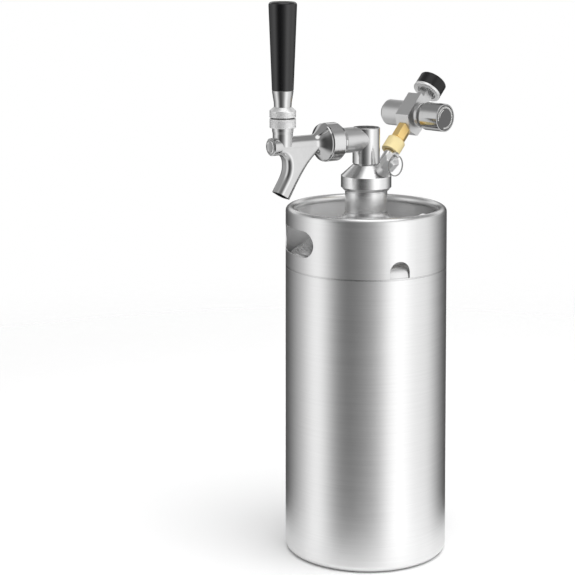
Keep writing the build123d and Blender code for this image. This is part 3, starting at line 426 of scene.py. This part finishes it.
LOOKS = {
    "keg": brushed_steel("look_brushed_steel", 0.88, 0.36, 0.8),
    "collar": collar_steel("look_collar"),
    "shoulder": turned_steel("look_shoulder_steel", 0.70, 0.27, 0.00002),
    "polished": turned_steel("look_turned_steel", 0.74, 0.15),
    "cap": turned_steel("look_cap_steel", 0.84, 0.23, 0.000002),
    "satin": turned_steel("look_satin_steel", 0.66, 0.30, 0.00002),
    "chrome": cast_chrome("look_chrome", 0.64, 0.07),
    "knurled": machined("look_knurled_steel", grey(0.86), grey(0.76), 0.32, metal=0.75),
    "block": machined("look_block_nickel", grey(0.76), grey(0.70), 0.38),
    "knob": turned_steel("look_knob_steel", 0.56, 0.12),
    "relief": machined("look_relief_steel", grey(0.94), grey(0.84), 0.34, metal=0.7),
    "nickel": machined("look_satin_nickel", grey(0.70), grey(0.62), 0.34),
    "brass": machined("look_brass", (1.0, 0.76, 0.33, 1), (0.94, 0.62, 0.22, 1), 0.32, metal=0.85),
    "pale_brass": machined("look_pale_brass", (1.0, 0.86, 0.50, 1), (0.98, 0.78, 0.38, 1), 0.4,
                           metal=0.6),
    "grip": plastic("look_black_lacquer", (0.004, 0.004, 0.0045, 1), 0.12, 0.6, 900, 0.000004),
    "gauge_black": plastic("look_satin_black", (0.006, 0.006, 0.0065, 1), 0.28, 0.0, 1800, 0.00001),
    "disc": machined("look_dark_disc", grey(0.19), grey(0.15), 0.45),
    "white": plastic("look_white_print", (0.86, 0.86, 0.84, 1), 0.5, 0.0, 1500, 0.000004),
    "red": plastic("look_red_paint", (0.55, 0.02, 0.015, 1), 0.4, 0.2, 1500, 0.000004),
    "lens": clear("look_lens"),
    "rubber": plastic("look_rubber", (0.02, 0.02, 0.02, 1), 0.6, 0.0, 1400, 0.00002),
    "silicone": plastic("look_silicone", (0.72, 0.74, 0.76, 1), 0.45, 0.0, 1400, 0.00002),
    "wire": turned_steel("look_wire", 0.42, 0.25),
}
SLOT_LOOK = {"steel_brushed": "keg", "steel_polished": "polished", "chrome": "chrome",
             "brass": "brass", "nickel": "nickel", "grip_black": "grip",
             "black_plastic": "gauge_black", "dark_disc": "disc", "dial_white": "white",
             "needle_red": "red", "clear_lens": "lens", "rubber": "rubber",
             "silicone": "silicone", "spring_steel": "wire"}


# ---- Carried CAD nodes -----------------------------------------------------------------
NODE_LOOK = {"top_collar": "collar", "shoulder_dome": "shoulder", "cap_body": "cap",
             "prv_body": "relief", "gauge_stem": "block", "reg_body": "block",
             "coupling_nut": "polished", "shank": "satin"}
for entry in frame["record"]["subparts"]:
    node = frame["nodes"][entry["node"]]
    look = NODE_LOOK.get(entry["node"], SLOT_LOOK[entry["material_slot"]])
    for material_slot in node.material_slots:
        material_slot.material = LOOKS[look]


# ---- Keg -------------------------------------------------------------------------------
lathe("keg_body_sheet", UPRIGHT,
      [(0, 6), (44, 6, 3), (48, 0, 2), (55, 0, 1), (67, 0, 12), (67, 238.0, 0.3), (66, 238.0, 0.2),
       (66, 1, 11), (48.5, 1, 1), (44.5, 7, 2), (0, 7)],
      "keg", "keg", ["keg_shell"], segments=256)
lathe("neck_with_thread", UPRIGHT,
      [(14.5, 284, 0), (17.6, 284, 0), (17.6, 300.2, 0.5), (16.9, 300.2, 0), (16.9, 310, 0.5),
       (14.5, 310, 0.4)],
      "keg", "cap", ["neck_ring"], segments=144, bands=[thread(16.9, 300.9, 309.2, 3.0, 0.8)])

# ---- Disconnect and faucet -------------------------------------------------------------
KNURL_SEGMENTS = 300        # five for each of the 60 grooves
lathe("disconnect_barrel", UPRIGHT,
      [(7.05, 323.5, 0.1), (11.4, 323.5, 0.5), (11.4, 353.5, 0.8), (8.6, 353.5, 0.2), (8.6, 350, 0),
       (5, 350, 0), (5, 341.2, 0), (7.05, 341.2, 0)],
      "tap", "polished", ["disconnect_body"])
lathe("bonnet_knurled_ring", LEVER,
      [(5.6, 355.6, 0), (7.0, 355.6, 0.1), (7.0, 358.9, 0), (10.65, 358.9, 0.5),
       (10.65, 366.3, 0.5), (7.2, 366.3, 0.3), (5.0, 360.0, 0.1), (5.0, 358.75, 0),
       (5.6, 358.75, 0)],
      "tap", "knurled", ["bonnet_ring"], segments=KNURL_SEGMENTS,
      bands=[knurl(10.65, 359.7, 365.5, 60, 0.3)])
lathe("collar_knurled", LEVER,
      [(2.5, 370.6, 0), (9.9, 370.6, 0), (9.9, 367.4, 0.1), (10.7, 367.4, 0.5), (10.7, 372.6, 0.5),
       (7.2, 375.6, 0.3), (2.5, 375.6, 0)],
      "lever", "knurled", ["handle_collar"], segments=KNURL_SEGMENTS,
      bands=[knurl(10.7, 368.2, 371.8, 60, 0.3)])
lathe("ferrule_sleeve", LEVER,
      [(2.5, 375.6, 0), (7.0, 375.6, 0.1), (7.3, 379.6, 12), (8.7, 388.3, 0.3), (8.5, 388.9, 0.2),
       (2.5, 388.9, 0)],
      "lever", "chrome", ["ferrule"])
lathe("handle_grip", LEVER,
      [(0, 398.5), (2.5, 398.5, 0), (2.5, 388.9, 0), (8.75, 388.9, 0.5), (11.6, 460.1, 2.6),
       (0, 460.5)],
      "lever", "grip", ["tap_handle"], segments=128)
lathe("faucet_front_plug", TAP,
      [(0, 91.1), (5.55, 91.1, 0), (5.55, 95.9, 0.3), (4.6, 96.3, 0.3), (3.9, 95.6, 1.5),
       (0, 95.6)],
      "tap", "chrome", ["front_plug"])

# ---- Relief valve's split ring ---------------------------------------------------------


def wire_loop(name, place, radius, wire, start, turns, rise, body, look, stands_for=()):
    """Round wire wound about place's Z with closed ends; rise is its whole travel along Z."""
    bm = bmesh.new()
    around, sections = 12, max(8, round(72 * turns))
    rings = []
    for index in range(sections + 1):
        share = index / sections
        angle = math.radians(start) + 2 * math.pi * turns * share
        outward = Vector((math.cos(angle), math.sin(angle), 0))
        centre = outward * radius + Vector((0, 0, rise * (share - 0.5)))
        ring = []
        for k in range(around):
            turn = 2 * math.pi * k / around
            up = Vector((0, 0, wire * math.sin(turn)))
            point = centre + outward * (wire * math.cos(turn)) + up
            ring.append(bm.verts.new(point * MM))
        rings.append(ring)
    for ring, after in zip(rings, rings[1:]):
        for k in range(around):
            n = (k + 1) % around
            bm.faces.new([ring[k], ring[n], after[n], after[k]])
    bm.faces.new(rings[0])
    bm.faces.new(rings[-1])
    return finish_mesh(name, bm, place, body, look, stands_for)


EYE_S, RING_R, RING_WIRE = 46.0, 8.4, 0.42
EYE = RELIEF.translation / MM + (RELIEF.to_3x3() @ Vector((0, 0, 1))) * EYE_S
HOOP = axes(EYE - Vector((0, 0, RING_R)), (0, 0, 1), KNOB_DIR)
wire_loop("relief_split_ring", HOOP, RING_R, RING_WIRE, 20, 2.1, 2 * RING_WIRE,
          "prv_ring", "wire", ["prv_ring"])

# ---- Post's spring: a fixed coil with its own mesh; the real one shortens as the poppet goes in ---
SPRING_LOW, SPRING_HIGH, SPRING_WIRE = 320.4, 331.4, 0.35
SPRING = axes((0, 0, (SPRING_LOW + SPRING_HIGH) / 2), (1, 0, 0), (0, 0, 1))
coil = wire_loop("poppet_coil", SPRING, 3.0, SPRING_WIRE, 0, 5,
                 SPRING_HIGH - SPRING_LOW - 2 * SPRING_WIRE, "cap", "wire", ["poppet_spring"])
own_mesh(coil)

# ---- Quick coupler ---------------------------------------------------------------------
lathe("coupler_knurled_sleeve", GAS,
      [(5.25, 41.9, 0.1), (8.0, 41.9, 0.5), (8.0, 53.9, 0.5), (5.25, 53.9, 0.1), (5.25, 53.2, 0),
       (6.3, 53.2, 0), (6.3, 46.1, 0), (5.25, 46.1, 0)],
      "coupler_sleeve", "pale_brass", ["coupler_sleeve"], segments=240,
      bands=[knurl(8.0, 42.8, 53.0, 48, 0.28)])

# ---- Regulator -------------------------------------------------------------------------
lathe("socket_with_thread", SOCKET,
      [(1.3, 3, 0), (6, 3, 0), (6, 7, 0), (11, 7, 0.3), (11, 26, 0.4), (8.4, 29, 0.25),
       (4.2, 29, 0.3), (4.2, 21, 0.2), (4.9, 21, 0.1), (4.9, 17, 0), (1.3, 17, 0)],
      "regulator", "nickel", ["cartridge_socket"], bands=[thread(4.2, 21.2, 28.6, 1.06, -0.5)])
lathe("bonnet_with_ring", KNOB,
      [(5.2, 7, 0), (8.0, 7, 0), (8.0, 9.6, 0.1), (10.8, 9.6, 0.5), (10.8, 13, 0.5), (8.2, 13, 0),
       (8.2, 28.6, 0.3), (2.45, 28.6, 0), (2.45, 27, 0), (6.4, 27, 0), (6.4, 9, 0), (5.2, 9, 0)],
      "regulator", "satin", ["reg_bonnet"])
KNOB_FLOOR_S, KNOB_FACE_S = 35.1, 35.8
lathe("knob_shell", KNOB,
      [(8.25, 16.2, 0.1), (11.8, 16.2, 0.8), (11.8, 36.0, 0.4), (10.8, 36.0, 0.3),
       (10.6, KNOB_FLOOR_S, 0), (0, KNOB_FLOOR_S), (0, 32.4), (8.25, 32.4, 0)],
      "knob", "knob", ["knob"], segments=128)
lathe("knob_face", KNOB,
      [(0, KNOB_FLOOR_S), (10.5, KNOB_FLOOR_S, 0), (10.3, KNOB_FACE_S, 0.15), (0, KNOB_FACE_S)],
      "knob", "disc", ["knob_disc"])


def ticks(name, place, radius, length, width, height, thick, angles, body, look):
    """Ring of small raised marks on a flat face; one mesh."""
    bm = bmesh.new()
    for angle in angles:
        turn = math.radians(angle)
        outward = Vector((math.cos(turn), math.sin(turn), 0))
        across = Vector((-math.sin(turn), math.cos(turn), 0))
        corners = []
        for level in (height, height + thick):
            for along, aside in ((0, -0.5), (length, -0.5), (length, 0.5), (0, 0.5)):
                flat = outward * (radius + along) + across * (aside * width)
                corners.append(bm.verts.new((flat + Vector((0, 0, level))) * MM))
        low, high = corners[:4], corners[4:]
        bm.faces.new(low)
        bm.faces.new(high)
        for k in range(4):
            bm.faces.new([low[k], low[(k + 1) % 4], high[(k + 1) % 4], high[k]])
    soft = finish_mesh(name, bm, place, body, look).modifiers.new("soft", "BEVEL")
    soft.width = thick * 0.3 * MM
    soft.segments = 1
    soft.limit_method = "ANGLE"
    soft.angle_limit = math.radians(32)
    soft.harden_normals = False


KNOB_MARKS = [angle for angle in range(0, 360, 9) if not 150 < angle < 215]
ticks("knob_ticks", KNOB, 8.1, 1.5, 0.6, KNOB_FACE_S - 0.02, 0.1, KNOB_MARKS, "knob", "white")
ARC = KNOB @ Matrix.Translation((0, 0, (KNOB_FACE_S + 0.02) * MM))
wire_loop("knob_arc", ARC, 6.9, 0.2, 60, 0.19, 0, "knob", "white")

# ---- Pressure gauge --------------------------------------------------------------------
DIAL_S = 118.5              # front of the dial
lathe("gauge_back_ring", GAS,
      [(8.6, 107.9, 0.35), (12.25, 107.9, 0.7), (12.25, 110.4, 0.2), (8.6, 110.4, 0.1)],
      "regulator", "knurled", ["gauge_ring"])
lathe("gauge_back_plate", GAS,
      [(4.6, 110.15, 0), (8.5, 110.15, 0.05), (8.5, 110.38, 0), (4.6, 110.38, 0)],
      "regulator", "nickel")
lathe("gauge_barrel", GAS,
      [(0, 110.4), (12.1, 110.4, 0.2), (12.1, 121.5, 0.8), (10.2, 121.5, 0.25), (10.2, 120.8, 0),
       (10.9, 120.8, 0), (10.9, 111.8, 0), (0, 111.8)],
      "regulator", "gauge_black", ["gauge_case"], segments=128)
lathe("gauge_face", GAS,
      [(0.6, 118.0, 0), (4.5, 118.0, 0), (10.8, 118.0, 0.1), (10.8, DIAL_S, 0.15),
       (0.6, DIAL_S, 0)],
      "regulator", "white", ["gauge_dial"])
lathe("gauge_window", GAS, [(0, 120.0), (10.85, 120.0, 0.1), (10.85, 120.6, 0.2), (0, 120.75)],
      "regulator", "lens", ["gauge_lens"])

ZERO_ANGLE, FULL_ANGLE = 225.0, -45.0
GAUGE_STEPS = 30
NUMBER_R = 6.9
MARKS = [ZERO_ANGLE + (FULL_ANGLE - ZERO_ANGLE) * k / GAUGE_STEPS for k in range(GAUGE_STEPS + 1)]
MINOR = [angle for k, angle in enumerate(MARKS) if k % 5]
MAJOR = MARKS[::5]
for marks, at, length, width, angles in (("gauge_minor_marks", 9.2, 0.9, 0.16, MINOR),
                                         ("gauge_major_marks", 8.6, 1.5, 0.3, MAJOR)):
    ticks(marks, GAS, at, length, width, DIAL_S - 0.02, 0.06, angles, "regulator", "gauge_black")


def dial_number(text, angle):
    """A number on the gauge's dial, upright as the dial is read."""
    curve = bpy.data.curves.new("number", "FONT")
    curve.body = text
    curve.size = 2.3 * MM
    curve.extrude = 0.03 * MM
    curve.align_x = curve.align_y = "CENTER"
    source = bpy.data.objects.new("number", curve)
    bpy.context.scene.collection.objects.link(source)
    bpy.context.view_layer.update()
    graph = bpy.context.evaluated_depsgraph_get()
    mesh = bpy.data.meshes.new_from_object(source.evaluated_get(graph))
    bpy.data.objects.remove(source)
    turn = math.radians(angle)
    centre = Vector((NUMBER_R * math.cos(turn), NUMBER_R * math.sin(turn), DIAL_S))
    bm = bmesh.new()
    bm.from_mesh(mesh)
    bmesh.ops.remove_doubles(bm, verts=bm.verts, dist=1e-7)
    finish_mesh(f"gauge_number_{text}", bm, GAS @ Matrix.Translation(centre * MM), "regulator",
                "gauge_black")


for step, angle in enumerate(MAJOR):
    if step % 2 == 0:
        dial_number(str(step * 10), angle)


# ---- Floor, light and camera -----------------------------------------------------------
VIEW_AZIMUTH = math.radians(56)
TOWARD_VIEWER = Vector((math.sin(VIEW_AZIMUTH), -math.cos(VIEW_AZIMUTH), 0))
RIGHT = Vector((math.cos(VIEW_AZIMUTH), math.sin(VIEW_AZIMUTH), 0))
FLOOR_R_M = 6.0
SEEN_TO_M, MIRRORED_TO_M = (0.45, 1.1), (0.09, 0.16)    # where the floor fades, from the keg's axis


def make_floor():
    """Pale disc that fades out away from the keg; only its middle shows in reflections."""
    bm = bmesh.new()
    bmesh.ops.create_circle(bm, cap_ends=True, segments=96, radius=FLOOR_R_M)
    mesh = bpy.data.meshes.new("floor")
    bm.to_mesh(mesh)
    bm.free()
    floor = bpy.data.objects.new("floor", mesh)
    floor.location.z = -0.0002
    bpy.context.scene.collection.objects.link(floor)
    r = recipe("floor_paper")
    place = r.node("TexCoord").outputs["Object"]
    away = r.node("VectorMath", place, operation="LENGTH").outputs["Value"]
    seen = r.ease(away, *SEEN_TO_M, 1.0, 0.0)
    mirrored = r.ease(away, *MIRRORED_TO_M, 1.0, 0.0)
    shown = r.blend(r.node("LightPath").outputs["Is Glossy Ray"], seen, mirrored)
    grain = r.noise(place, 900.0, 2.0)
    paper = r.node("BsdfPrincipled", Base_Color=r.tint(grain, grey(0.86), grey(0.88)),
                   Roughness=r.blend(grain, 0.45, 0.55), Normal=r.bump(grain, 0.00002, 0.3))
    r.node("OutputMaterial", r.node("MixShader", shown, r.node("BsdfTransparent"), paper))
    mesh.materials.append(r.owner)


# Brightness of the room by direction, in degrees to the right of the viewer: two tall soft lights
# beside the viewer, with darker gaps between them and behind.
ROUND = ((-180, 0.04), (-155, 0.06), (-143, 0.1), (-127, 0.28), (-110, 0.52), (-96, 0.72),
         (-75, 1.3), (-58, 0.64), (-42, 0.14), (-26, 0.06), (-11, 0.14), (4, 0.28), (19, 0.58),
         (34, 1.3), (50, 1.5), (70, 0.97), (94, 0.97), (107, 0.66), (124, 0.3), (139, 0.12),
         (153, 0.05), (180, 0.04))
CEILING, TOP_LIGHT, GROUND, BACKDROP = 0.34, 1.4, 0.75, 0.8


def brightness(r, share, table, low, high):
    """Smooth curve through a table of (place, level), read at share = 0...1 of low...high."""
    ramp = r.node("ValToRGB", share)
    ramp.color_ramp.interpolation = "B_SPLINE"
    scale = max(level for _, level in table)
    stops = ramp.color_ramp.elements
    while len(stops) < len(table):
        stops.new(0.5)
    for stop, (place, level) in zip(stops, table):
        stop.position = (place - low) / (high - low)
        stop.color = grey(level / scale)
    return r.math("MULTIPLY", ramp.outputs["Color"], scale)


def make_room():
    """Soft studio seen only in reflections and as light; the camera sees plain white behind."""
    world = bpy.data.worlds.new("studio")
    bpy.context.scene.world = world
    r = Recipe(world)
    direction = r.node("TexCoord").outputs["Generated"]
    right, near = r.dot(direction, tuple(RIGHT)), r.dot(direction, tuple(TOWARD_VIEWER))
    up = r.node("SeparateXYZ", direction).outputs[2]
    angle = r.math("ARCTAN2", right, near)
    around = brightness(r, r.node("MapRange", angle, -math.pi, math.pi, 0.0, 1.0), ROUND, -180, 180)
    high, low = r.ease(up, 0.4, 0.75), r.ease(up, -0.45, -0.8)
    top_dir = tuple((Vector((0, 0, 1)) + TOWARD_VIEWER * 0.15 + RIGHT * 0.15).normalized())
    patch = r.ease(r.dot(direction, top_dir), 0.84, 0.96)
    above = r.blend(patch, CEILING, TOP_LIGHT)
    level = r.blend(low, r.blend(high, around, above), GROUND)
    # pale backdrop, between the lights' tops and the ceiling
    behind = r.ease(near, -0.35, -0.75)
    over, under = r.ease(up, 0.16, 0.34), r.ease(up, 0.45, 0.62, 1.0, 0.0)
    backdrop = r.math("MULTIPLY", behind, r.math("MULTIPLY", over, under))
    level = r.blend(backdrop, level, BACKDROP)
    seen = r.node("LightPath").outputs["Is Camera Ray"]
    strength = r.blend(seen, level, 1.0)
    r.node("OutputWorld", r.node("Background", WHITE, strength))


KEY_PLACE = RIGHT * 0.3 + TOWARD_VIEWER * 0.4 + Vector((0, 0, 2.0))
KEY_SIZE_M, KEY_POWER = 2.2, 46


def make_key_light():
    """Wide soft light overhead, aimed at the keg's foot."""
    light = bpy.data.lights.new("key", "AREA")
    light.size = KEY_SIZE_M
    light.energy = KEY_POWER
    lamp = bpy.data.objects.new("key", light)
    lamp.location = KEY_PLACE
    lamp.rotation_euler = (-KEY_PLACE).to_track_quat("-Z", "Y").to_euler()
    lamp.visible_glossy = False
    bpy.context.scene.collection.objects.link(lamp)


CAMERA_PLACE = Vector((1.1500, -0.8546, 0.5318))
FOCAL_PX, PICTURE_PX, SENSOR_MM = 1734.2, 575, 36.0
DROP_PX, CAMERA_TILT = 262.7, 0.065


def make_camera():
    """Camera at the photograph's viewpoint, with the lens shifted down as a product lens is."""
    data = bpy.data.cameras.new("camera")
    data.sensor_width = SENSOR_MM
    data.lens = FOCAL_PX / PICTURE_PX * SENSOR_MM
    camera = bpy.data.objects.new("camera", data)
    camera.location = CAMERA_PLACE
    camera.rotation_euler = (math.pi / 2 - CAMERA_TILT, 0, VIEW_AZIMUTH)
    bpy.context.scene.collection.objects.link(camera)
    bpy.context.scene.camera = camera
    # The shift belongs to this viewpoint; from anywhere else the lens is centred.
    shift = data.driver_add("shift_y").driver
    place = shift.variables.new()
    place.name = "x"
    place.type = "TRANSFORMS"
    place.targets[0].id = camera
    place.targets[0].transform_type = "LOC_X"
    low, high = CAMERA_PLACE.x - 0.0005, CAMERA_PLACE.x + 0.0005
    shift.expression = f"{-DROP_PX / PICTURE_PX:.5f} if x > {low:.4f} and x < {high:.4f} else 0"


make_floor()
make_room()
make_key_light()
make_camera()
bpy.context.scene.view_settings.view_transform = "Standard"
